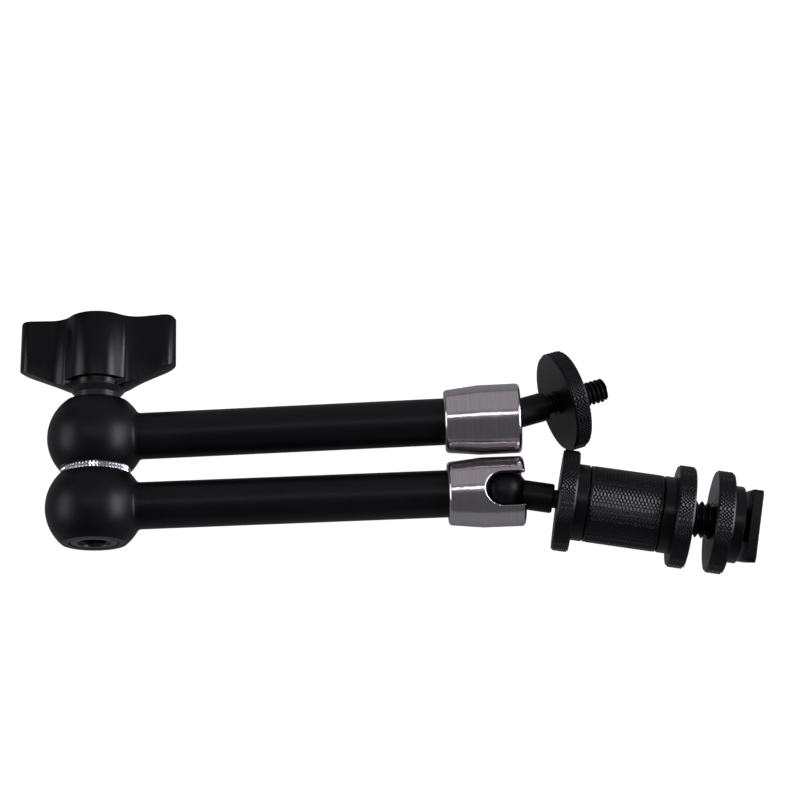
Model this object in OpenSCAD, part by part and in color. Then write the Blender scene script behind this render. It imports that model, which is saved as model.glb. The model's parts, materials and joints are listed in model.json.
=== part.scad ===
// Articulating friction arm: two tubular arms on a central elbow, one wing knob that locks
// the elbow and both end ball joints, a camera stud with a lock disc at one end and a
// knurled barrel with a shoe foot at the other.
// Millimetres. X runs along the lower arm, Y is the elbow pivot axis (knob at +Y),
// Z is up: the arm lies folded on its side, on its two housings and two discs.

/* [Elbow] */
// Radius of each elbow ball housing
ball_r = 12.8; // [12:0.1:14]
// Distance from a housing centre to its flat outer face
outer_flat = 9.65; // [9:0.05:10.5]
// Distance from a housing centre to its flat face on the other arm's side
inner_flat = 8.6; // [8:0.05:9]
// Thickness of each of the two friction discs between the housings
disc_t = 0.82; // [0.6:0.02:1.4]
// Radius of the two friction discs
ring_r = 9.15; // [8.6:0.05:9.4]
// Radius of the clamp bolt's shaft
bolt_r = 3.0; // [2.5:0.1:3.5]
// Radius of the clamp bolt's flush head
head_r = 6.3; // [6:0.05:6.8]
// Width across the flats of the hex socket in the bolt head
hex_flats = 7.0; // [5:0.5:8]

/* [Arms] */
// Outer radius of the arm tubes
tube_r = 6.2; // [5.6:0.1:6.6]
// Distance from the pivot to the ball joint centre
arm_len = 106.8; // [60:0.1:200]
// Radius of the push rods inside the tubes
rod_r = 3.6; // [3:0.1:4]
// Radius of the fillet between ball housing and tube
fillet_r = 1.5; // [0.5:0.1:3]

/* [Collars] */
// Overall length of the steel collars
collar_len = 20.0; // [18:0.1:24]
// Largest radius of the collars
collar_r = 9.2; // [8.9:0.1:10.5]
// Wall of the collars where the tube enters
collar_wall = 2.15; // [1.6:0.05:2.4]
// How far the collar's mouth stands in front of the ball centre
mouth_reach = 5.6; // [5:0.1:5.8]
// Turn of the lower collar's slot about the arm, degrees from straight up
lower_slot_turn = -7.7; // [-45:0.1:45]
// Turn of the upper collar's slot about the arm, degrees from straight down
upper_slot_turn = 20; // [-45:0.1:45]

/* [Ball studs] */
// Radius of the stud balls
stud_ball_r = 6.5; // [6.3:0.05:7]
// Radius of the stud necks
neck_r = 3.85; // [3.6:0.05:4]
// Distance from the ball centre to the end of the neck
neck_end = 13.3; // [12:0.1:16]
// Distance from the ball centre to the tip of the camera thread
stud_tip = 30.2; // [28:0.1:33]
// Sideways angle of the lower stud at rest, degrees
lower_stud_side = -11.2; // [-14:0.1:-10]
// Sideways angle of the upper stud at rest, degrees
upper_stud_side = 16.1; // [15:0.1:17]
// Upward angle of the upper stud from the upper arm at rest, degrees
upper_stud_lift = -10.262; // [-11:0.001:0]

/* [Discs, barrel and shoe] */
// Radius of the four knurled discs
disc_r = 13.35; // [12.9:0.05:13.6]
// Thickness of the disc rims
disc_rim = 4.4; // [3:0.1:6]
// Radius of the smooth boss on three of the discs
boss_r = 10.0; // [8:0.1:12]
// Height of that boss
boss_len = 3.1; // [1:0.1:5]
// Bare thread between the upper lock disc and the start of its thread
upper_disc_out = 2.1; // [0.2:0.1:3]
// Radius of the knurled barrel
barrel_r = 10.05; // [8:0.05:12]
// Length of the knurled barrel
barrel_len = 19.1; // [16:0.1:26]
// Bare post between the barrel's disc and the shoe's disc
post_show = 5.5; // [2:0.1:10]
// Space between the shoe's disc and the foot, where a shoe's rails go
shoe_gap = 1.3; // [1:0.1:2.5]
// Width of the square shoe foot
foot_w = 18.5; // [18:0.1:18.7]
// Thickness of the shoe foot
foot_t = 2.6; // [1.5:0.1:3]
// Roll of the shoe foot about its post at rest, degrees
foot_roll = 12; // [-45:1:45]

/* [Knob] */
// Height of the thrust collar that shows between the upper housing and the knob
thrust_show = 3.85; // [3:0.05:6]
// Height of the knob along the pivot
knob_height = 19.5; // [17:0.1:24]
// Half length of the wing knob
knob_half = 21.1; // [19:0.1:26]
// Radius of the knob's round hub
hub_r = 8.3; // [7.8:0.1:9.5]
// Half thickness of the wings at their waist
waist_half = 2.4; // [2:0.1:2.9]
// Radius of the rounded wing tips
tip_r = 3.0; // [2.5:0.1:4]
// Turn of the knob about the pivot at rest, degrees
knob_turn = -2.5; // [-45:0.5:45]

/* [View] */
// Which sub-part to show

/* [Hidden] */

// Radii of the quarter inch camera thread, its root, and the three eighths inch shoe post
quarter_r = 3.175;
quarter_root_r = 2.4;
post_r = 4.7625;
// Clearances: round a shaft, between stacked pieces, and past a cut face
run_gap = 0.05;
stack_gap = 0.1;
past = 1;
clear_r = bolt_r + 0.3;

// Elbow: the two housings stand on the two friction discs
ring_gap = 0.06;
ring_edge = 0.2;
ball_gap = 2 * (inner_flat + disc_t) + ring_gap;

// Wedges: 45 degree cones behind the bolt head and under the thrust collar
wedge_r = head_r - 0.1;
wedge_tip_r = bolt_r + 0.3;
wedge_len = wedge_r - wedge_tip_r;
wedge_back = 5.0;
wedge_base = wedge_back - 0.4;
wedge_tip_at = wedge_base - wedge_len;
counter_r = head_r + 0.1;
counter_end = wedge_tip_at - 0.2;
cone_gap = 0.05;
rod_start = bolt_r + 0.75;
bore_r = rod_r + 0.5;

// Clamp bolt: flush head with a hex socket behind a round recess
head_face = outer_flat - stack_gap;
head_back = wedge_back + 0.05;
head_edge = 0.3;
socket_floor = head_back + 0.75;
recess_r = 4.25;
recess_depth = 0.35;
recess_floor_r = 3.4;
recess_floor_depth = 0.85;

// Ball joint in the collar
chamber_r = stud_ball_r + run_gap;
lip_x = 0.4 * stud_ball_r;
lip_r = sqrt(chamber_r * chamber_r - lip_x * lip_x);
mouth_r = stud_ball_r - 0.3;
mouth_flare = 0.5;
slot_half = neck_r + 0.3;
slot_slope_from = collar_r - 2.1;
slot_slope_to = collar_r + 0.9;
slot_slope = 0.4;
seat_back = arm_len - stud_ball_r - 1.3;
seat_neck_gap = 0.35;
seat_front = arm_len - neck_r - seat_neck_gap;
seat_r = chamber_r - run_gap;
cup_r = stud_ball_r + 0.03;
tube_end = seat_back - 1.5;
tube_fit = 0.02;
tube_lap = 0.5;
collar_start = arm_len + mouth_reach - collar_len;
collar_end = arm_len + mouth_reach;
collar_taper = 9;
collar_edge = 1.0;

// Stations along a stud, from its ball centre
thread_start = neck_end + 1.1;
lower_disc_at = thread_start;
upper_disc_at = thread_start + upper_disc_out;
valley_at = upper_disc_at + disc_rim + stack_gap;
valley_len = 0.6;
neck_edge = 0.4;
relief = 0.4;
lead_in = 0.2;
tip_edge = 0.7;
disc_edge = 0.45;
boss_edge = 0.25;
barrel_edge = 0.4;
barrel_at = lower_disc_at + disc_rim + boss_len + stack_gap;
barrel_end = barrel_at + barrel_len;
barrel_disc_at = barrel_end + stack_gap;
shoe_disc_at = barrel_disc_at + boss_len + disc_rim + post_show;
foot_at = shoe_disc_at + disc_rim + boss_len + shoe_gap;
post_tip_gap = 3.4;
post_start = stud_tip + post_tip_gap;
post_edge = 0.8;
rivet_r = 3.0;
rivet_gap = 0.02;

// Shoe foot outline, across the post
foot_half = foot_w / 2;
foot_in = foot_half - 0.9;
foot_plan = [[-foot_in, -foot_half], [foot_in, -foot_half], [foot_half, -foot_in], [foot_half, foot_in],
    [foot_in, foot_half], [-foot_in, foot_half], [-foot_half, foot_in], [-foot_half, -foot_in]];

// Knob, its nut and the thrust collar under it
thrust_top = outer_flat + thrust_show;
thrust_r = 7.3;
thrust_waist_r = 6.1;
thrust_edge = 0.2;
thrust_cone = 1.4;
knob_low = ball_gap + thrust_top + stack_gap;
knob_top = knob_low + knob_height;
washer_t = 0.6;
washer_r = 6.35;
washer_bed_r = 6.5;
washer_bed = washer_t - stack_gap + 0.04;
knob_neck_r = 6.5;
knob_neck_len = 1.8;
knob_bridge_half = 3.6;
hollow_past_hub = 3.7;
under_r = 7.45;
under_slope = 0.434;
rim_over = 0.3;
rim_round = 1.6;
knob_roof = 6;
bolt_end = knob_top - knob_roof;
nut_r = 5.5;
nut_start = knob_low + washer_t;
bolt_past_nut = 4.5;
nut_end = bolt_end - bolt_past_nut;
bolt_hole_end = bolt_end + 1.5;
waist_bow = 7;
waist_y = waist_half + waist_bow;
waist_x = sqrt((hub_r + waist_bow) * (hub_r + waist_bow) - waist_y * waist_y);
hub_touch = waist_y * hub_r / (hub_r + waist_bow);

// Sine of the tilt that lays a disc's edge, s along a stud from a ball at height b, on the ground
function tilt_sine(b, s, r) = (r * sqrt(s * s + r * r - b * b) - b * s) / (s * s + r * r);

// Elbow angle that lays the upper lock disc on the ground, found by repeating n times
upper_edge_at = upper_disc_at + disc_rim - disc_edge;
function stud_sine(e) = cos(upper_stud_side) * sin(e + upper_stud_lift);
function fold_step(q) = asin((disc_r * sqrt(1 - q * q) - upper_edge_at * q - ball_r) / arm_len);
function fold_angle(e, n) = n == 0 ? e : fold_angle(fold_step(stud_sine(e)), n - 1);

elbow_rest = fold_angle(0, 8);
lower_stud_lift = asin(max(0, tilt_sine(ball_r, lower_disc_at + disc_edge, disc_r)) / cos(lower_stud_side));

// Row offsets that put the origin under the middle of the folded arm
foot_u = [-cos(lower_stud_lift) * sin(lower_stud_side), -sin(lower_stud_lift)];
foot_v = [cos(foot_roll) * foot_u[0] + sin(foot_roll) * foot_u[1],
    cos(foot_roll) * foot_u[1] - sin(foot_roll) * foot_u[0]];
foot_reach = arm_len + (foot_at + foot_t) * cos(lower_stud_lift) * cos(lower_stud_side)
    + max([for (p = foot_plan) p * foot_v]);
knob_reach = tip_r + (knob_half - tip_r) * cos(knob_turn);
disc_reach = (shoe_disc_at + disc_rim - disc_edge) * sin(lower_stud_side) - disc_r * cos(lower_stud_side);
mid_x = (foot_reach - knob_reach) / 2;
mid_y = (knob_top + disc_reach) / 2;

// Placement of the whole arm in the row frame
module rest() {
    translate([-mid_x, -mid_y, ball_r]) children();
}

// Frame of the upper arm, X along its tube
module upper_frame() {
    rest() translate([0, ball_gap, 0]) rotate([0, -elbow_rest, 0]) children();
}

// Frames of the two studs: X points out along the stud from the ball centre
module lower_stud_frame() {
    rest() translate([arm_len, 0, 0]) rotate([0, -lower_stud_lift, 0]) rotate([0, 0, lower_stud_side])
        children();
}

module upper_stud_frame() {
    upper_frame() translate([arm_len, 0, 0]) rotate([0, -upper_stud_lift, 0])
        rotate([0, 0, upper_stud_side]) children();
}

// Turns a profile of radius and height about the X axis
module turned_x() {
    rotate([90, 0, 90]) rotate_extrude($fn = 96) children();
}

// Turns a profile of radius and height about the Y axis
module turned_y() {
    rotate([-90, 0, 0]) rotate_extrude($fn = 96) children();
}

// A round bar along X
module bar_x(r, from, to) {
    translate([from, 0, 0]) rotate([0, 90, 0]) cylinder(r = r, h = to - from, $fn = 64);
}

// A round bar along Y
module bar_y(r, from, to) {
    translate([0, from, 0]) rotate([-90, 0, 0]) cylinder(r = r, h = to - from, $fn = 64);
}

// Half profile of the ball housing, its fillet and the tube
module arm_profile() {
    tube_out = tube_r + fillet_r;
    ball_out = ball_r + fillet_r;
    fx = sqrt(ball_out * ball_out - tube_out * tube_out);
    k = ball_r / ball_out;
    difference() {
        union() {
            intersection() {
                circle(r = ball_r, $fn = 128);
                translate([0, -ball_r - past]) square([ball_r + past, 2 * (ball_r + past)]);
            }
            square([tube_r, tube_end]);
            polygon([[0, fx - 2 * fillet_r], [tube_out * k, fx * k], [tube_out, fx], [0, fx]]);
        }
        translate([tube_out, fx]) circle(r = fillet_r, $fn = 64);
    }
}

// One arm: ball housing and tube in one piece, bored for bolt, wedge and push rod
module arm_piece() {
    side = 3 * ball_r;
    difference() {
        turned_x() arm_profile();
        translate([-side / 2, -side - outer_flat, -side / 2]) cube(side);
        translate([-side / 2, inner_flat, -side / 2]) cube(side);
        bar_y(counter_r, -ball_r, -counter_end);
        bar_y(bolt_r + run_gap, -wedge_back, ball_r);
        bar_x(bore_r, 0, tube_end + past);
    }
}

// Steel disc, serrated on the real arm, that the two housings clamp between them
module friction_disc() {
    turned_y() polygon([[clear_r, 0], [ring_r, 0], [ring_r, disc_t - ring_edge],
        [ring_r - ring_edge, disc_t], [clear_r, disc_t]]);
}

// Cone that pushes the rod outward when the knob is tightened, its small end at +Y
module wedge_cone() {
    difference() {
        turned_y() polygon([[0, -wedge_back], [wedge_r, -wedge_back], [wedge_r, -wedge_base],
            [wedge_tip_r, -wedge_tip_at], [0, -wedge_tip_at]]);
        bar_y(bolt_r + run_gap, -wedge_back - past, 0);
    }
}

// Push rod with its end cut to the wedge's slope
module push_rod_piece() {
    back = wedge_back + past;
    difference() {
        bar_x(rod_r, rod_start, seat_back);
        turned_y() polygon([[0, -back], [wedge_r + cone_gap, -back], [wedge_r + cone_gap, -wedge_base],
            [wedge_tip_r + cone_gap, -wedge_tip_at], [0, -wedge_tip_at]]);
        bar_y(rod_start, -back, back);
    }
}

// Cup that presses on the back of the stud ball
module ball_seat_piece() {
    difference() {
        bar_x(seat_r, seat_back, seat_front);
        translate([arm_len, 0, 0]) sphere(r = cup_r, $fn = 64);
    }
}

// Outer profile of a collar, radius against distance along the arm
module collar_profile() {
    e = collar_edge;
    tail_r = tube_r + collar_wall;
    polygon([[0, collar_start], [tail_r - e, collar_start], [tail_r, collar_start + e],
        [collar_r, collar_start + collar_taper], [collar_r, collar_end - e], [collar_r - e, collar_end],
        [0, collar_end]]);
    translate([tail_r - e, collar_start + e]) circle(r = e, $fn = 32);
    translate([collar_r - e, collar_end - e]) circle(r = e, $fn = 32);
}

// Slot through one side of the collar wall, with a sloped edge, facing +Z
module collar_slot() {
    run = mouth_reach + past;
    rise = slot_slope_to - slot_slope_from;
    wide = slot_half + slot_slope * rise;
    top = collar_r + past;
    translate([arm_len, 0, 0]) {
        cylinder(r = slot_half, h = top, $fn = 64);
        translate([0, -slot_half, 0]) cube([run, 2 * slot_half, top]);
        translate([0, 0, slot_slope_from]) cylinder(r1 = slot_half, r2 = wide, h = rise, $fn = 64);
        rotate([90, 0, 90]) linear_extrude(height = run)
            polygon([[-slot_half, slot_slope_from], [slot_half, slot_slope_from],
                [wide, slot_slope_to], [-wide, slot_slope_to]]);
    }
}

// Steel collar: holds the tube, the seat and the stud ball behind its lip
module collar_piece() {
    lip_at = arm_len + lip_x;
    difference() {
        turned_x() collar_profile();
        bar_x(tube_r + tube_fit, collar_start - past, tube_end);
        bar_x(chamber_r, tube_end - tube_lap, arm_len);
        turned_x() intersection() {
            translate([0, arm_len]) circle(r = chamber_r, $fn = 96);
            translate([0, arm_len - past]) square([chamber_r + past, lip_x + past]);
        }
        turned_x() polygon([[0, lip_at - lead_in], [lip_r, lip_at - lead_in], [lip_r, lip_at],
            [mouth_r, collar_end - mouth_flare], [mouth_r + mouth_flare, collar_end],
            [mouth_r + mouth_flare, collar_end + past], [0, collar_end + past]]);
        collar_slot();
    }
}

// Ball, neck, relief and camera thread of a stud, along X from the ball centre.
// One thread valley parts the clamped stretch from the free end that a camera screws onto.
module stud_piece() {
    relief_r = quarter_r - relief;
    turned_x() {
        intersection() {
            circle(r = stud_ball_r, $fn = 96);
            translate([0, -stud_ball_r - past]) square([stud_ball_r + past, 2 * (stud_ball_r + past)]);
        }
        polygon([[0, 0], [neck_r, 0], [neck_r, neck_end - neck_edge], [neck_r - neck_edge, neck_end],
            [relief_r, neck_end], [relief_r, thread_start - lead_in], [quarter_r, thread_start + lead_in],
            [quarter_r, valley_at], [quarter_root_r, valley_at], [quarter_root_r, valley_at + valley_len],
            [quarter_r, valley_at + valley_len], [quarter_r, stud_tip - tip_edge],
            [quarter_r - tip_edge, stud_tip], [0, stud_tip]]);
    }
}

// Half profile of a disc, its rim from 0 along +X
module rim_profile(hole_r) {
    polygon([[hole_r, 0], [disc_r - disc_edge, 0], [disc_r, disc_edge],
        [disc_r, disc_rim - disc_edge], [disc_r - disc_edge, disc_rim], [hole_r, disc_rim]]);
}

// Flat disc, knurled on the real arm
module flat_disc(hole_r) {
    turned_x() rim_profile(hole_r);
}

// Disc with a smooth boss that points along +X
module boss_disc(hole_r) {
    end = disc_rim + boss_len;
    turned_x() {
        rim_profile(hole_r);
        polygon([[hole_r, disc_rim - disc_edge], [boss_r, disc_rim - disc_edge], [boss_r, end - boss_edge],
            [boss_r - boss_edge, end], [hole_r, end]]);
    }
}

// Plan of the wing knob: round hub, hollow waists and rounded tips
module knob_plan() {
    tip_at = knob_half - tip_r;
    difference() {
        union() {
            circle(r = hub_r, $fn = 96);
            translate([-waist_x, -hub_touch]) square([2 * waist_x, 2 * hub_touch]);
        }
        for (s = [-1, 1], t = [-1, 1]) {
            translate([s * waist_x, t * waist_y]) circle(r = waist_bow, $fn = 96);
        }
    }
    for (side = [0, 1]) mirror([side, 0]) {
        polygon([[waist_x - 2, -waist_half], [waist_x, -waist_half], [tip_at, -tip_r], [tip_at, tip_r],
            [waist_x, waist_half], [waist_x - 2, waist_half]]);
        translate([tip_at, 0]) circle(r = tip_r, $fn = 48);
    }
}

// Side profile of the wing knob: sloped underside and a rounded rim
module knob_side() {
    rim_r = knob_half + rim_over;
    round_at = rim_r - rim_round;
    polygon([[0, knob_low], [under_r, knob_low], [rim_r, knob_low + under_slope * (rim_r - under_r)],
        [rim_r, knob_top - rim_round], [round_at, knob_top], [0, knob_top]]);
    translate([round_at, knob_top - rim_round]) circle(r = rim_round, $fn = 48);
}

module lower_arm() {
    color([0.05, 0.05, 0.06]) rest() arm_piece();
}

module lower_collar() {
    color([0.75, 0.74, 0.75]) rest() rotate([-lower_slot_turn, 0, 0]) collar_piece();
}

module lower_friction_disc() {
    color([0.85, 0.85, 0.86]) rest() translate([0, inner_flat, 0]) friction_disc();
}

module clamp_bolt() {
    out = head_face + past;
    color([0.1, 0.1, 0.11]) rest() difference() {
        union() {
            turned_y() polygon([[0, -head_face], [head_r - head_edge, -head_face],
                [head_r, -head_face + head_edge], [head_r, -head_back], [0, -head_back]]);
            bar_y(bolt_r, -head_back - run_gap, bolt_end);
        }
        translate([0, -out, 0]) rotate([-90, 0, 0])
            cylinder(r = hex_flats / sqrt(3), h = out - socket_floor, $fn = 6);
        turned_y() polygon([[0, -out], [recess_r + recess_depth, -out], [recess_r, -head_face + recess_depth],
            [recess_floor_r, -head_face + recess_floor_depth], [0, -head_face + recess_floor_depth]]);
    }
}

module lower_wedge() {
    color([0.7, 0.6, 0.35]) rest() wedge_cone();
}

module lower_push_rod() {
    color([0.7, 0.7, 0.72]) rest() push_rod_piece();
}

module lower_ball_seat() {
    color([0.1, 0.1, 0.11]) rest() ball_seat_piece();
}

module upper_arm() {
    color([0.05, 0.05, 0.06]) upper_frame() mirror([0, 1, 0]) arm_piece();
}

module upper_collar() {
    color([0.75, 0.74, 0.75]) upper_frame() rotate([180 + upper_slot_turn, 0, 0]) collar_piece();
}

module upper_friction_disc() {
    color([0.85, 0.85, 0.86]) upper_frame() mirror([0, 1, 0]) translate([0, inner_flat, 0]) friction_disc();
}

// Guided cone with the visible thrust collar under the knob
module upper_wedge() {
    guide_end = outer_flat + 0.6;
    color([0.12, 0.12, 0.13]) upper_frame() difference() {
        turned_y() polygon([[0, wedge_tip_at], [wedge_tip_r, wedge_tip_at], [wedge_r, wedge_base],
            [wedge_r, guide_end], [thrust_waist_r, guide_end + thrust_edge],
            [thrust_waist_r, thrust_top - thrust_cone - thrust_edge], [thrust_r, thrust_top - thrust_edge],
            [thrust_r - thrust_edge, thrust_top], [0, thrust_top]]);
        bar_y(bolt_r + run_gap, wedge_tip_at - past, thrust_top + past);
    }
}

module thrust_washer() {
    hole_r = bolt_r + 0.2;
    color([0.8, 0.8, 0.8]) upper_frame() turned_y() polygon([[hole_r, thrust_top], [washer_r, thrust_top],
        [washer_r, thrust_top + washer_t], [hole_r, thrust_top + washer_t]]);
}

module upper_push_rod() {
    color([0.7, 0.7, 0.72]) upper_frame() mirror([0, 1, 0]) push_rod_piece();
}

module upper_ball_seat() {
    color([0.1, 0.1, 0.11]) upper_frame() ball_seat_piece();
}

module wing_knob() {
    neck_top = knob_low + knob_neck_len;
    below = knob_low - past;
    wide = 2 * hub_r;
    hollow_r = hub_r + hollow_past_hub;
    color([0.04, 0.04, 0.05]) rest() rotate([0, knob_turn, 0]) difference() {
        intersection() {
            translate([0, knob_low, 0]) rotate([-90, 0, 0]) linear_extrude(height = knob_height) knob_plan();
            turned_y() knob_side();
        }
        difference() {
            bar_y(hollow_r, below, neck_top);
            bar_y(knob_neck_r, below - past, neck_top + past);
            translate([-wide, below - past, -knob_bridge_half])
                cube([2 * wide, neck_top - below + 2 * past, 2 * knob_bridge_half]);
        }
        bar_y(washer_bed_r, below, knob_low + washer_bed);
        bar_y(nut_r, below, nut_end);
        bar_y(clear_r, below, bolt_hole_end);
    }
}

// Brass nut pressed into the knob
module knob_nut() {
    bore = bolt_r + run_gap;
    color([0.75, 0.65, 0.4]) rest() turned_y() polygon([[bore, nut_start], [nut_r, nut_start],
        [nut_r, nut_end], [bore, nut_end]]);
}

module lower_ball_stud() {
    color([0.06, 0.06, 0.07]) lower_stud_frame() stud_piece();
}

module lower_lock_disc() {
    color([0.05, 0.05, 0.06]) lower_stud_frame() translate([lower_disc_at, 0, 0])
        boss_disc(quarter_r + run_gap);
}

module barrel() {
    thread_bore = quarter_r + run_gap;
    post_bore = post_r + run_gap;
    color([0.05, 0.05, 0.06]) lower_stud_frame() turned_x() polygon([[thread_bore, barrel_at],
        [barrel_r - barrel_edge, barrel_at], [barrel_r, barrel_at + barrel_edge],
        [barrel_r, barrel_end - barrel_edge], [barrel_r - barrel_edge, barrel_end], [post_bore, barrel_end],
        [post_bore, post_start - post_edge], [thread_bore, post_start - 2 * post_edge]]);
}

module barrel_lock_disc() {
    color([0.05, 0.05, 0.06]) lower_stud_frame() translate([barrel_disc_at + boss_len + disc_rim, 0, 0])
        mirror([1, 0, 0]) boss_disc(post_r + run_gap);
}

module shoe_post() {
    color([0.06, 0.06, 0.07]) lower_stud_frame() turned_x() polygon([[0, post_start],
        [post_r - post_edge, post_start], [post_r, post_start + post_edge], [post_r, foot_at - rivet_gap],
        [rivet_r, foot_at - rivet_gap], [rivet_r, foot_at + foot_t], [0, foot_at + foot_t]]);
}

module shoe_foot() {
    color([0.05, 0.05, 0.06]) lower_stud_frame() rotate([foot_roll, 0, 0]) difference() {
        translate([foot_at, 0, 0]) rotate([90, 0, 90]) linear_extrude(height = foot_t) polygon(foot_plan);
        bar_x(rivet_r, foot_at - past, foot_at + foot_t + past);
    }
}

module shoe_lock_disc() {
    color([0.05, 0.05, 0.06]) lower_stud_frame() translate([shoe_disc_at, 0, 0])
        boss_disc(post_r + run_gap);
}

module upper_ball_stud() {
    color([0.06, 0.06, 0.07]) upper_stud_frame() stud_piece();
}

module upper_lock_disc() {
    color([0.05, 0.05, 0.06]) upper_stud_frame() translate([upper_disc_at, 0, 0])
        flat_disc(quarter_r + run_gap);
}

lower_arm();
lower_collar();
lower_friction_disc();
clamp_bolt();
lower_wedge();
lower_push_rod();
lower_ball_seat();
upper_arm();
upper_collar();
upper_friction_disc();
upper_wedge();
thrust_washer();
upper_push_rod();
upper_ball_seat();
wing_knob();
knob_nut();
lower_ball_stud();
lower_lock_disc();
barrel();
barrel_lock_disc();
shoe_post();
shoe_foot();
shoe_lock_disc();
upper_ball_stud();
upper_lock_disc();
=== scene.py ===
# Articulating friction arm, dressed over its CAD solids. Metres, in the arm's own frame.
import bpy
import json
import math
from mathutils import Matrix, Vector


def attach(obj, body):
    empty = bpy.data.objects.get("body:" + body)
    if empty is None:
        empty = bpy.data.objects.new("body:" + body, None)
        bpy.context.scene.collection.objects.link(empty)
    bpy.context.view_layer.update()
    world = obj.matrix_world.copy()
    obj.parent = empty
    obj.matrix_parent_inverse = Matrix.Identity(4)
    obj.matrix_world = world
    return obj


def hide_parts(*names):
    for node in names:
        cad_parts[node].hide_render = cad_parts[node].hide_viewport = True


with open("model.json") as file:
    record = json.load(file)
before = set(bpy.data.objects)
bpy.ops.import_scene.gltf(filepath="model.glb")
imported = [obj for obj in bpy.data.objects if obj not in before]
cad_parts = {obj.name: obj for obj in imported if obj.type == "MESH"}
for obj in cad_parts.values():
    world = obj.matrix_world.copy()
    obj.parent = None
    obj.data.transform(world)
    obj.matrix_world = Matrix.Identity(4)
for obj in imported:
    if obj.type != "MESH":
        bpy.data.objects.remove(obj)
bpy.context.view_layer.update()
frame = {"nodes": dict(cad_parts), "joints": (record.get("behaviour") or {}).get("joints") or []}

nodes = frame["nodes"]
joints = {joint["name"]: joint for joint in frame["joints"]}

# Camera
# The arm was shot from above and a little in front, with a long lens about 40 cm away.
bpy.ops.object.select_all(action='DESELECT')
cam_right = Vector((0.9992, -0.0392, -0.0040)).normalized()
cam_back = Vector((-0.0083, -0.3082, 0.9513)).normalized()
cam_up = cam_back.cross(cam_right).normalized()
cam_turn = Matrix((cam_right, cam_up, cam_back)).transposed()
bpy.ops.object.camera_add()
camera = bpy.context.object
camera.name = "camera"
camera.matrix_world = Matrix.Translation((0.00137, -0.112705, 0.3993)) @ cam_turn.to_4x4()
camera.data.sensor_width = 36
camera.data.lens = 68.38
bpy.context.scene.camera = camera

# Table and studio light
# A wide table that looks white but lights the arm only a little, two soft boxes at the sides,
# a strip lamp over the camera, and a pale wall behind the knob. The black parts show the boxes
# as soft bands, and the collars show the wall and a thin line of the strip.
bpy.ops.mesh.primitive_plane_add(size=6.0)
table = bpy.context.object
table.name = "table"
white = bpy.data.materials.new("white_table")
white.use_nodes = True
table_shader = white.node_tree.nodes["Principled BSDF"]
table_shader.inputs["Base Color"].default_value = (0.16, 0.16, 0.17, 1)
table_shader.inputs["Roughness"].default_value = 0.9
table_shader.inputs["Specular IOR Level"].default_value = 0.1
table_shader.inputs["Emission Color"].default_value = (1, 1, 1, 1)
table_shader.inputs["Emission Strength"].default_value = 1.0
seen = white.node_tree.nodes.new('ShaderNodeLightPath')
lit = white.node_tree.nodes.new('ShaderNodeMapRange')
lit.inputs["To Min"].default_value = 0.12
lit.inputs["To Max"].default_value = 1.0
white.node_tree.links.new(seen.outputs["Is Camera Ray"], lit.inputs["Value"])
white.node_tree.links.new(lit.outputs["Result"], table_shader.inputs["Emission Strength"])
table.data.materials.append(white)


def soft_box(name, side, up, toward, distance, width, height, power, tint):
    """Hangs a rectangular lamp at a direction given in camera terms, aimed at the arm."""
    line = (cam_right * side + cam_up * up + cam_back * toward).normalized()
    bpy.ops.object.light_add(type='AREA')
    lamp = bpy.context.object
    lamp.name = name
    lamp.data.shape = 'RECTANGLE'
    lamp.data.size = width
    lamp.data.size_y = height
    lamp.data.energy = power
    lamp.data.color = tint
    across = cam_up.cross(line).normalized()
    turned = Matrix((across, line.cross(across), line)).transposed()
    lamp.matrix_world = Matrix.Translation(line * distance) @ turned.to_4x4()


soft_box("right_box", 0.86, 0.14, 0.48, 1.0, 0.32, 0.75, 13.0, (0.84, 0.83, 1.0))
soft_box("left_box", -0.88, 0.07, 0.45, 1.0, 0.45, 0.7, 4.8, (0.95, 0.92, 1.0))
soft_box("strip_lamp", 0.05, 0.33, 0.94, 1.0, 0.90, 0.02, 1.3, (1.0, 1.0, 1.0))
soft_box("back_wall", 0.0, 0.92, 0.38, 1.1, 1.6, 1.6, 2.7, (1.0, 0.92, 1.0))
soft_box("front_wall", 0.0, -0.97, 0.22, 1.2, 1.6, 0.4, 0.45, (1.0, 0.95, 1.0))
soft_box("rim_box", 0.93, 0.33, 0.05, 1.0, 0.3, 0.3, 1.5, (1.0, 1.0, 1.0))
world = bpy.context.scene.world or bpy.data.worlds.new("studio")
bpy.context.scene.world = world
world.use_nodes = True
world.node_tree.nodes["Background"].inputs["Color"].default_value = (0.95, 0.95, 1.0, 1)
world.node_tree.nodes["Background"].inputs["Strength"].default_value = 0.13
bpy.context.scene.view_settings.view_transform = 'Standard'

# Ball housings and tubes
# Each arm is one turned aluminium piece, fine blasted and then anodised black. The blasting
# leaves an even satin grain, a little lighter where the grain stands proud.


def new_group(name, inputs, outputs):
    """An empty shader node group with named sockets."""
    group = bpy.data.node_groups.new(name, 'ShaderNodeTree')
    for label, kind, value in inputs:
        socket = group.interface.new_socket(name=label, in_out='INPUT', socket_type=kind)
        if value is not None:
            socket.default_value = value
    for label, kind in outputs:
        group.interface.new_socket(name=label, in_out='OUTPUT', socket_type=kind)
    return group, group.nodes.new('NodeGroupInput'), group.nodes.new('NodeGroupOutput')


def blend_colors(tree, factor, low, high):
    """A colour mix node in a tree; each argument is a socket to link."""
    mix = tree.nodes.new('ShaderNodeMix')
    mix.data_type = 'RGBA'
    tree.links.new(factor, mix.inputs["Factor"])
    tree.links.new(low, mix.inputs[6])
    tree.links.new(high, mix.inputs[7])
    return mix.outputs[2]


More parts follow.
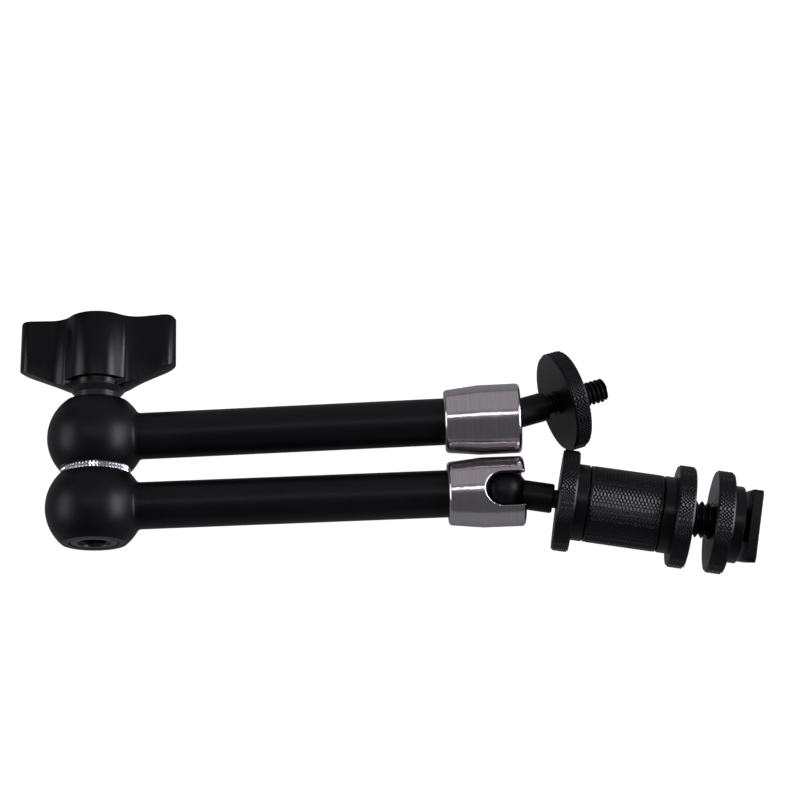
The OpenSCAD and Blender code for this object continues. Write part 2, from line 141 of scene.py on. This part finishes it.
def blend_values(tree, factor, low, high):
    """A value mix node in a tree; each argument is a socket to link."""
    mix = tree.nodes.new('ShaderNodeMix')
    mix.data_type = 'FLOAT'
    tree.links.new(factor, mix.inputs["Factor"])
    tree.links.new(low, mix.inputs[2])
    tree.links.new(high, mix.inputs[3])
    return mix.outputs[0]


blasted, b_in, b_out = new_group(
    "blasted_grain",
    [("Vector", 'NodeSocketVector', None), ("Dark", 'NodeSocketColor', (0.01, 0.01, 0.01, 1)),
     ("Light", 'NodeSocketColor', (0.02, 0.02, 0.02, 1)), ("Grain Size", 'NodeSocketFloat', 5000.0),
     ("Smooth", 'NodeSocketFloat', 0.4), ("Rough", 'NodeSocketFloat', 0.5)],
    [("Color", 'NodeSocketColor'), ("Roughness", 'NodeSocketFloat'), ("Height", 'NodeSocketFloat')])
fine = blasted.nodes.new('ShaderNodeTexNoise')
fine.inputs["Detail"].default_value = 3.0
blasted.links.new(b_in.outputs["Vector"], fine.inputs["Vector"])
blasted.links.new(b_in.outputs["Grain Size"], fine.inputs["Scale"])
broad = blasted.nodes.new('ShaderNodeTexNoise')
broad.inputs["Scale"].default_value = 90.0
broad.inputs["Detail"].default_value = 4.0
blasted.links.new(b_in.outputs["Vector"], broad.inputs["Vector"])
both = blasted.nodes.new('ShaderNodeMath')
both.operation = 'MULTIPLY'
blasted.links.new(fine.outputs["Fac"], both.inputs[0])
blasted.links.new(broad.outputs["Fac"], both.inputs[1])
blasted.links.new(blend_colors(blasted, both.outputs[0], b_in.outputs["Dark"], b_in.outputs["Light"]),
                  b_out.inputs["Color"])
blasted.links.new(blend_values(blasted, broad.outputs["Fac"], b_in.outputs["Smooth"], b_in.outputs["Rough"]),
                  b_out.inputs["Roughness"])
blasted.links.new(fine.outputs["Fac"], b_out.inputs["Height"])


def grained(name, dark, light, grain, smooth, rough, bump, metallic, level=0.5, coat=0.0):
    """A metal finish whose colour, gloss and bump come from the blasted grain."""
    material = bpy.data.materials.new(name)
    material.use_nodes = True
    tree = material.node_tree
    shader = tree.nodes["Principled BSDF"]
    shader.inputs["Metallic"].default_value = metallic
    shader.inputs["Specular IOR Level"].default_value = level
    shader.inputs["Coat Weight"].default_value = coat
    shader.inputs["Coat Roughness"].default_value = 0.12
    place = tree.nodes.new('ShaderNodeTexCoord')
    grain_node = tree.nodes.new('ShaderNodeGroup')
    grain_node.node_tree = blasted
    grain_node.inputs["Dark"].default_value = dark + (1,)
    grain_node.inputs["Light"].default_value = light + (1,)
    grain_node.inputs["Grain Size"].default_value = grain
    grain_node.inputs["Smooth"].default_value = smooth
    grain_node.inputs["Rough"].default_value = rough
    relief = tree.nodes.new('ShaderNodeBump')
    relief.inputs["Strength"].default_value = bump
    relief.inputs["Distance"].default_value = 0.0001
    tree.links.new(place.outputs["Object"], grain_node.inputs["Vector"])
    tree.links.new(grain_node.outputs["Color"], shader.inputs["Base Color"])
    tree.links.new(grain_node.outputs["Roughness"], shader.inputs["Roughness"])
    tree.links.new(grain_node.outputs["Height"], relief.inputs["Height"])
    tree.links.new(relief.outputs["Normal"], shader.inputs["Normal"])
    return material


def finish(piece, material):
    """Gives a piece one material in place of what it had."""
    piece.data.materials.clear()
    piece.data.materials.append(material)


satin_black = grained("satin_black", (0.0008, 0.0008, 0.0012), (0.0045, 0.0042, 0.0055), 5200, 0.34, 0.44, 0.18, 0.0, 0.17)
finish(nodes["lower_arm"], satin_black)
finish(nodes["upper_arm"], satin_black)

# Slotted collars
# Turned from stainless bar and brushed round, so fine lines run about the tube. Each is
# pressed over its tube's end and holds the ball seat and the ball.
turned_lines, t_in, t_out = new_group(
    "turned_lines",
    [("Vector", 'NodeSocketVector', None), ("Dark", 'NodeSocketColor', (0.4, 0.4, 0.4, 1)),
     ("Light", 'NodeSocketColor', (0.6, 0.6, 0.6, 1)), ("Smooth", 'NodeSocketFloat', 0.2),
     ("Rough", 'NodeSocketFloat', 0.35)],
    [("Color", 'NodeSocketColor'), ("Roughness", 'NodeSocketFloat'), ("Height", 'NodeSocketFloat')])
squeeze = turned_lines.nodes.new('ShaderNodeMapping')
squeeze.inputs["Scale"].default_value = (5000, 60, 60)
lines = turned_lines.nodes.new('ShaderNodeTexNoise')
lines.inputs["Scale"].default_value = 1.0
lines.inputs["Detail"].default_value = 5.0
smears = turned_lines.nodes.new('ShaderNodeTexNoise')
smears.inputs["Scale"].default_value = 260.0
smears.inputs["Detail"].default_value = 6.0
turned_lines.links.new(t_in.outputs["Vector"], squeeze.inputs["Vector"])
turned_lines.links.new(squeeze.outputs["Vector"], lines.inputs["Vector"])
turned_lines.links.new(t_in.outputs["Vector"], smears.inputs["Vector"])
turned_lines.links.new(blend_colors(turned_lines, lines.outputs["Fac"], t_in.outputs["Dark"], t_in.outputs["Light"]),
                       t_out.inputs["Color"])
turned_lines.links.new(blend_values(turned_lines, smears.outputs["Fac"], t_in.outputs["Smooth"], t_in.outputs["Rough"]),
                       t_out.inputs["Roughness"])
turned_lines.links.new(lines.outputs["Fac"], t_out.inputs["Height"])


def brushed(name, dark, light, smooth, rough, bump, turn):
    """A turned metal finish; turn brings the piece's axis onto X."""
    material = bpy.data.materials.new(name)
    material.use_nodes = True
    tree = material.node_tree
    shader = tree.nodes["Principled BSDF"]
    shader.inputs["Metallic"].default_value = 1.0
    place = tree.nodes.new('ShaderNodeTexCoord')
    onto_x = tree.nodes.new('ShaderNodeMapping')
    onto_x.inputs["Rotation"].default_value = turn
    line_node = tree.nodes.new('ShaderNodeGroup')
    line_node.node_tree = turned_lines
    line_node.inputs["Dark"].default_value = dark + (1,)
    line_node.inputs["Light"].default_value = light + (1,)
    line_node.inputs["Smooth"].default_value = smooth
    line_node.inputs["Rough"].default_value = rough
    relief = tree.nodes.new('ShaderNodeBump')
    relief.inputs["Strength"].default_value = bump
    relief.inputs["Distance"].default_value = 0.00005
    tree.links.new(place.outputs["Object"], onto_x.inputs["Vector"])
    tree.links.new(onto_x.outputs["Vector"], line_node.inputs["Vector"])
    tree.links.new(line_node.outputs["Color"], shader.inputs["Base Color"])
    tree.links.new(line_node.outputs["Roughness"], shader.inputs["Roughness"])
    tree.links.new(line_node.outputs["Height"], relief.inputs["Height"])
    tree.links.new(relief.outputs["Normal"], shader.inputs["Normal"])
    return material


def only_selected(piece):
    """Makes one piece the active one and the only one selected."""
    bpy.ops.object.select_all(action='DESELECT')
    piece.select_set(True)
    bpy.context.view_layer.objects.active = piece


def bevelled(name, width, clamped=True):
    """A merged copy of a CAD node with its sharp edges broken by a small round bevel."""
    only_selected(nodes[name])
    bpy.ops.object.duplicate()
    piece = bpy.context.object
    piece.name = name + "_bevelled"
    bpy.ops.object.mode_set(mode='EDIT')
    bpy.ops.mesh.select_all(action='SELECT')
    bpy.ops.mesh.remove_doubles(threshold=0.000002)
    bpy.ops.mesh.dissolve_limited(angle_limit=math.radians(0.5))
    bpy.ops.object.mode_set(mode='OBJECT')
    edge_break = piece.modifiers.new("edge_break", 'BEVEL')
    edge_break.width = width
    edge_break.segments = 3
    edge_break.limit_method = 'ANGLE'
    edge_break.angle_limit = math.radians(40)
    edge_break.use_clamp_overlap = clamped
    bpy.ops.object.modifier_apply(modifier="edge_break")
    return piece


def seat(piece, place, body, stands_for, material, smooth=30):
    """Puts a finished mesh in its place, gives it its material, hangs it on its body and hides the CAD node it stands
    for.
    """
    piece.data.transform(place)
    only_selected(piece)
    bpy.ops.object.shade_smooth_by_angle(angle=math.radians(smooth))
    finish(piece, material)
    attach(piece, body)
    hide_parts(stands_for)
    return piece


stainless = brushed("stainless", (0.36, 0.33, 0.35), (0.62, 0.58, 0.60), 0.12, 0.22, 0.45, (0, 0, 0))
for name, body in (("lower_collar", "lower_arm"), ("upper_collar", "upper_arm")):
    seat(bevelled(name, 0.00022, False), Matrix.Identity(4), body, name, stainless, 25)

# Friction discs
# Two hardened steel discs between the housings. Their rims are serrated like a twisted
# rope, which is the bright line that shows all round the elbow.
ring_radius = 0.00915
ring_hole = 0.0033
ring_thickness = 0.00082
ring_teeth = 60


def turn(name, stations, around, bored):
    """Turns a closed piece about Z: rings of (distance, radius), drawn out one after the other."""
    bpy.ops.object.select_all(action='DESELECT')
    along, radius = stations[0]
    bpy.ops.mesh.primitive_circle_add(vertices=around, radius=radius, location=(0, 0, along))
    piece = bpy.context.object
    piece.name = name
    bpy.ops.object.transform_apply(location=True, rotation=True, scale=True)
    bpy.ops.object.mode_set(mode='EDIT')
    bpy.ops.mesh.select_mode(type='EDGE')
    bpy.ops.mesh.select_all(action='SELECT')
    for next_along, next_radius in stations[1:]:
        bpy.ops.mesh.extrude_edges_move(TRANSFORM_OT_translate={"value": (0, 0, next_along - along)})
        ratio = next_radius / radius
        bpy.ops.transform.resize(value=(ratio, ratio, 1), center_override=(0, 0, 0))
        along, radius = next_along, next_radius
    bpy.ops.mesh.select_all(action='DESELECT')
    bpy.ops.mesh.select_non_manifold()
    if bored:
        bpy.ops.mesh.bridge_edge_loops()
    else:
        bpy.ops.mesh.fill_holes(sides=0)
    bpy.ops.mesh.select_all(action='SELECT')
    bpy.ops.mesh.normals_make_consistent(inside=False)
    bpy.ops.object.mode_set(mode='OBJECT')
    return piece


def axis_frame(origin, along, up=Vector((0, 0, 1))):
    """The place of a piece turned about Z whose Z runs along a direction."""
    z = Vector(along).normalized()
    x = Vector(up).cross(z).normalized()
    y = z.cross(x)
    return Matrix.Translation(Vector(origin)) @ Matrix((x, y, z)).transposed().to_4x4()


pivot = Vector(joints["elbow_pivot"]["pos_m"])
bright_steel = brushed("bright_steel", (0.60, 0.60, 0.62), (0.80, 0.80, 0.82), 0.16, 0.3, 0.3, (0, 0, math.radians(90)))
for name, start, body in (("lower_friction_disc", 0.0086, "lower_arm"),
                          ("upper_friction_disc", 0.0086 + ring_thickness + 0.00006, "upper_arm")):
    rim = [(start, ring_radius - 0.0002), (start + 0.00018, ring_radius), (start + ring_thickness - 0.00018, ring_radius),
           (start + ring_thickness, ring_radius - 0.0002), (start + ring_thickness, ring_hole), (start, ring_hole)]
    ring = turn(name + "_serrated", rim, 4 * ring_teeth, True)
    bpy.ops.object.mode_set(mode='EDIT')
    bpy.ops.mesh.select_mode(type='VERT')
    bpy.ops.mesh.select_all(action='DESELECT')
    bpy.ops.object.mode_set(mode='OBJECT')
    for vertex in ring.data.vertices:
        far = math.hypot(vertex.co.x, vertex.co.y)
        slot = (math.atan2(vertex.co.y, vertex.co.x) / math.tau * ring_teeth + (vertex.co.z - start) * 700) % 1.0
        vertex.select = far > ring_radius - 0.0004 and slot < 0.5
    bpy.ops.object.mode_set(mode='EDIT')
    bpy.ops.transform.resize(value=(0.968, 0.968, 1), center_override=(0, 0, 0))
    bpy.ops.object.mode_set(mode='OBJECT')
    seat(ring, axis_frame(pivot, (0, 1, 0)), body, name, bright_steel, 20)

# Clamp bolt
# Steel with black oxide. Its flush head fills the round opening of the lower housing and
# has a hex socket behind a round recess.
black_oxide = grained("black_oxide", (0.004, 0.004, 0.005), (0.013, 0.013, 0.015), 3000, 0.26, 0.4, 0.12, 0.0, 0.25)
finish(nodes["clamp_bolt"], black_oxide)

# Wedges, rods, seats, washer and nut
# The parts inside the tubes and under the knob: a turned brass cone and nut, black steel
# cups behind the balls, ground steel rods, and a black thrust collar with its washer.
brass = brushed("brass", (0.55, 0.40, 0.18), (0.75, 0.58, 0.28), 0.22, 0.36, 0.2, (0, 0, 0))
ground_rod = brushed("ground_rod", (0.55, 0.55, 0.56), (0.7, 0.7, 0.72), 0.18, 0.3, 0.15, (0, 0, 0))
for name in ("lower_wedge", "knob_nut"):
    finish(nodes[name], brass)
for name in ("lower_ball_seat", "upper_ball_seat"):
    finish(nodes[name], black_oxide)
for name in ("lower_push_rod", "upper_push_rod"):
    finish(nodes[name], ground_rod)
thrust_black = grained("thrust_black", (0.006, 0.006, 0.008), (0.018, 0.017, 0.022), 2600, 0.24, 0.36, 0.1, 0.0, 0.3)
finish(nodes["upper_wedge"], thrust_black)
finish(nodes["thrust_washer"], thrust_black)

# Wing knob
# Milled from bar and anodised a smoother, deeper black than the arms. Every edge is broken
# by a small bevel, which draws the thin light lines round the wings.
knob = bevelled("wing_knob", 0.00025)
knob_black = grained("knob_black", (0.0006, 0.0006, 0.001), (0.003, 0.003, 0.004), 4200, 0.24, 0.32, 0.08, 0.0, 0.17)
seat(knob, Matrix.Identity(4), "knob", "wing_knob", knob_black, 25)

# Ball studs
# Turned steel with black oxide: a ball, a plain neck, a short relief and a quarter inch
# thread of 20 turns to the inch, whose flanks catch the light.
thread_pitch = 0.00127
thread_crest = 0.003175
thread_root = 0.00242
ball_radius = 0.0065
neck_radius = 0.00385


def helix(name, root, crest, pitch, start, end):
    """A thread ridge wound about Z over its core, cut square at both ends."""
    bpy.ops.object.select_all(action='DESELECT')
    bpy.ops.mesh.primitive_circle_add(vertices=3, radius=0.001)
    piece = bpy.context.object
    piece.name = name
    bpy.ops.object.mode_set(mode='EDIT')
    bpy.ops.mesh.select_all(action='SELECT')
    bpy.ops.mesh.delete(type='EDGE_FACE')
    bpy.ops.object.mode_set(mode='OBJECT')
    low = start - 1.5 * pitch
    flank = 0.42 * pitch
    places = ((root, low), (crest, low + flank), (crest, low + 0.58 * pitch))
    for vertex, (out, along) in zip(piece.data.vertices, places):
        vertex.co = (out, 0, along)
    bpy.ops.object.mode_set(mode='EDIT')
    bpy.ops.mesh.select_mode(type='VERT')
    for pair in ((0, 1), (1, 2)):
        bpy.ops.mesh.select_all(action='DESELECT')
        bpy.ops.object.mode_set(mode='OBJECT')
        for index in pair:
            piece.data.vertices[index].select = True
        bpy.ops.object.mode_set(mode='EDIT')
        bpy.ops.mesh.edge_face_add()
    bpy.ops.mesh.select_all(action='DESELECT')
    bpy.ops.object.mode_set(mode='OBJECT')
    piece.data.vertices[2].select = True
    bpy.ops.object.mode_set(mode='EDIT')
    bpy.ops.mesh.extrude_vertices_move(TRANSFORM_OT_translate={"value": (root - crest, 0, 0.42 * pitch)})
    bpy.ops.object.mode_set(mode='OBJECT')
    wind = piece.modifiers.new("wind", 'SCREW')
    wind.angle = math.tau
    wind.screw_offset = pitch
    wind.iterations = int(math.ceil((end - start) / pitch)) + 3
    wind.steps = 40
    wind.render_steps = 40
    wind.use_merge_vertices = True
    wind.merge_threshold = 0.000001
    bpy.ops.object.modifier_apply(modifier="wind")
    bpy.ops.object.mode_set(mode='EDIT')
    for height, side in ((start, -1), (end, 1)):
        bpy.ops.mesh.select_all(action='SELECT')
        bpy.ops.mesh.remove_doubles(threshold=0.000002)
        bpy.ops.mesh.bisect(plane_co=(0, 0, height), plane_no=(0, 0, side), use_fill=True, clear_outer=True)
    bpy.ops.mesh.select_all(action='SELECT')
    bpy.ops.mesh.normals_make_consistent(inside=False)
    bpy.ops.object.mode_set(mode='OBJECT')
    return piece


def fuse(main, *others):
    """Joins pieces of one part into one mesh."""
    only_selected(main)
    for other in others:
        other.select_set(True)
    bpy.ops.object.join()
    return main


arc = [(ball_radius * -math.cos(math.radians(a)), ball_radius * math.sin(math.radians(a))) for a in range(4, 144, 4)]
neck = [(0.0055, neck_radius), (0.0129, neck_radius), (0.0133, neck_radius - 0.0004), (0.0133, thread_root),
        (0.0300, thread_root), (0.0302, thread_root - 0.0002)]
stud_black = grained("stud_black", (0.001, 0.001, 0.0015), (0.005, 0.005, 0.006), 3600, 0.34, 0.46, 0.14, 0.0, 0.17)
thread_black = grained("thread_black", (0.001, 0.001, 0.0015), (0.005, 0.005, 0.006), 3000, 0.22, 0.34, 0.1, 0.0, 0.25)
lower_ball = Vector(joints["lower_ball_swing"]["pos_m"])
upper_ball = Vector(joints["upper_ball_swing"]["pos_m"])
lower_way = Vector(joints["lower_disc_turn"]["axis"])
upper_way = Vector(joints["upper_disc_travel"]["axis"])
for which, at, way in (("lower", lower_ball, lower_way), ("upper", upper_ball, upper_way)):
    body = turn(which + "_stud", arc + neck, 64, False)
    thread = helix(which + "_thread", thread_root - 0.0001, thread_crest, thread_pitch, 0.0146, 0.0302)
    seat(fuse(body, thread), axis_frame(at, way), which + "_stud", which + "_ball_stud", stud_black,
         24)

# Knurled discs
# Turned from bar, black, with a diamond knurl rolled round the rim between two small
# chamfers. The face toward the ball is smooth, and three discs have a smooth boss.
disc_radius = 0.01335
disc_thickness = 0.0044
knurl_depth = 0.00022
rim_step = 0.00046
barrel_step = 0.0004


def knurl(name, radius, start, end, step):
    """A sleeve of small pyramids about Z, its points at the given radius, step apart round the sleeve."""
    around = 2 * int(round(math.tau * radius / (2 * step)))
    rows = int(round((end - start) / (1.15 * step)))
    bpy.ops.object.select_all(action='DESELECT')
    bpy.ops.mesh.primitive_cylinder_add(vertices=around, radius=radius, depth=end - start, end_fill_type='NOTHING',
                                        location=(0, 0, (start + end) / 2))
    sleeve = bpy.context.object
    sleeve.name = name
    bpy.ops.object.transform_apply(location=True, rotation=True, scale=True)
    bpy.ops.object.mode_set(mode='EDIT')
    bpy.ops.mesh.select_mode(type='EDGE')
    bpy.ops.mesh.select_all(action='DESELECT')
    bpy.ops.object.mode_set(mode='OBJECT')
    points = sleeve.data.vertices
    for edge in sleeve.data.edges:
        a, b = edge.vertices
        edge.select = abs(points[a].co.z - points[b].co.z) > 1e-6
    bpy.ops.object.mode_set(mode='EDIT')
    bpy.ops.mesh.subdivide(number_cuts=rows - 1)
    bpy.ops.mesh.select_mode(type='VERT')
    bpy.ops.mesh.select_all(action='DESELECT')
    bpy.ops.object.mode_set(mode='OBJECT')
    for point in sleeve.data.vertices:
        column = round(math.atan2(point.co.y, point.co.x) / math.tau * around)
        row = round((point.co.z - start) / (end - start) * rows)
        point.select = (column + row) % 2 == 1
    bpy.ops.object.mode_set(mode='EDIT')
    sunk = (radius - knurl_depth) / radius
    bpy.ops.transform.resize(value=(sunk, sunk, 1), center_override=(0, 0, 0))
    bpy.ops.mesh.select_mode(type='FACE')
    bpy.ops.mesh.select_all(action='SELECT')
    bpy.ops.mesh.poke()
    bpy.ops.object.mode_set(mode='OBJECT')
    return sleeve


def disc(name, hole, boss):
    """A knurled disc from 0 along Z, with a boss of the given length, or none."""
    chamfer = 0.00045
    core = disc_radius - knurl_depth
    body = [(0, hole), (0, disc_radius - chamfer), (chamfer, core), (disc_thickness - chamfer, core),
            (disc_thickness, disc_radius - chamfer)]
    if boss:
        end = disc_thickness + boss
        body += [(disc_thickness, 0.0100), (end - 0.00025, 0.0100), (end, 0.00975), (end, hole)]
    else:
        body += [(disc_thickness, hole)]
    piece = turn(name, body, 96, True)
    return fuse(piece, knurl(name + "_rim", disc_radius, chamfer, disc_thickness - chamfer, rim_step))


knurled_black = grained("knurled_black", (0.001, 0.001, 0.0015), (0.0045, 0.0043, 0.0055), 2600, 0.24, 0.36, 0.15, 0.0, 0.19)
quarter_hole = 0.003225
post_hole = 0.0048125
boss = 0.0031
seat(disc("upper_disc_knurled", quarter_hole, 0), axis_frame(upper_ball + upper_way * 0.0165, upper_way),
     "upper_disc", "upper_lock_disc", knurled_black, 6)
seat(disc("lower_disc_knurled", quarter_hole, boss), axis_frame(lower_ball + lower_way * 0.0144, lower_way),
     "lower_disc", "lower_lock_disc", knurled_black, 6)
seat(disc("barrel_disc_knurled", post_hole, boss), axis_frame(lower_ball + lower_way * 0.0487, -lower_way),
     "barrel_disc", "barrel_lock_disc", knurled_black, 6)
seat(disc("shoe_disc_knurled", post_hole, boss), axis_frame(lower_ball + lower_way * 0.0542, lower_way),
     "shoe_disc", "shoe_lock_disc", knurled_black, 6)

# Barrel
# A knurled sleeve with a quarter inch thread at one end and a three eighths inch thread at
# the other. A narrow smooth land is left at each end of the knurl.
barrel_start = 0.0220
barrel_end = 0.0411
barrel_radius = 0.01005
barrel_core = barrel_radius - knurl_depth
barrel_body = [(barrel_start, quarter_hole), (barrel_start, barrel_radius - 0.0004),
               (barrel_start + 0.0003, barrel_radius - 0.0001), (barrel_start + 0.0008, barrel_radius - 0.0001),
               (barrel_start + 0.0010, barrel_core), (barrel_end - 0.0010, barrel_core),
               (barrel_end - 0.0008, barrel_radius - 0.0001), (barrel_end - 0.0003, barrel_radius - 0.0001),
               (barrel_end, barrel_radius - 0.0004), (barrel_end, post_hole), (0.0328, post_hole), (0.0320, quarter_hole)]
sleeve = fuse(turn("barrel_knurled", barrel_body, 96, True),
              knurl("barrel_rim", barrel_radius, barrel_start + 0.0010, barrel_end - 0.0010, barrel_step))
seat(sleeve, axis_frame(lower_ball, lower_way), "barrel", "barrel", knurled_black, 6)

# Shoe post and foot
# A three eighths inch threaded post with 16 turns to the inch, riveted into a square foot
# that slides into a camera's shoe. The foot's corners are cut off and its edges broken.
post_pitch = 0.0015875
post_core = [(0.0336, 0.0034), (0.0344, 0.0038), (0.0610, 0.0038), (0.06298, 0.0038), (0.06298, 0.0030), (0.0656, 0.0030)]
post = fuse(turn("shoe_post_threaded", post_core, 48, False),
            helix("post_thread", 0.0037, 0.0047625, post_pitch, 0.0340, 0.06298))
seat(post, axis_frame(lower_ball, lower_way), "shoe", "shoe_post", thread_black, 24)
foot = bevelled("shoe_foot", 0.0003)
seat(foot, Matrix.Identity(4), "shoe", "shoe_foot", satin_black, 12)
